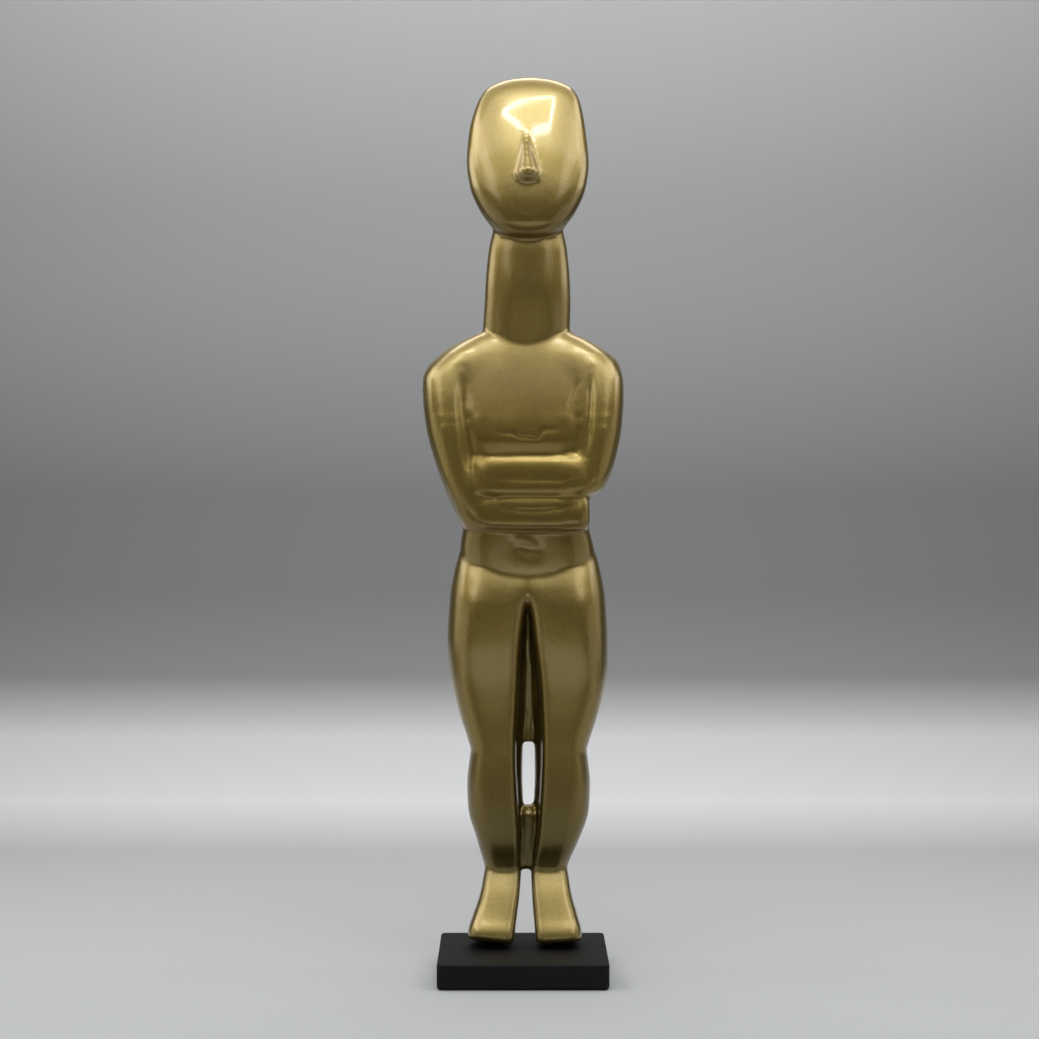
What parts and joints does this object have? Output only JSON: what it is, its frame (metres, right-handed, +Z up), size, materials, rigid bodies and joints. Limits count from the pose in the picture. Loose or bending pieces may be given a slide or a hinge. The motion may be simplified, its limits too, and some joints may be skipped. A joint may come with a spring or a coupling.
{
  "type": "cycladic folded-arm figurine on a plinth",
  "caption": "Standing folded-arm female figure in the Cycladic manner, long neck and tilted mask-like head, cast in one piece on a low square plinth.",
  "frame": {"origin": "centre of the plinth's underside", "axes": "+Z up along the figure, -Y the way the figure faces, +X to the right of someone who looks at its front"},
  "size_m": [0.0728, 0.06, 0.3219],
  "materials": {
    "gold_lacquer": "fine-flake gold lacquer under a glossy clear coat, on solid cast resin",
    "matt_black": "matt black lacquer on a solid block"
  },
  "bodies": {
    "root": {"figure": "gold_lacquer", "plinth": "matt_black"}
  },
  "joints": []
}
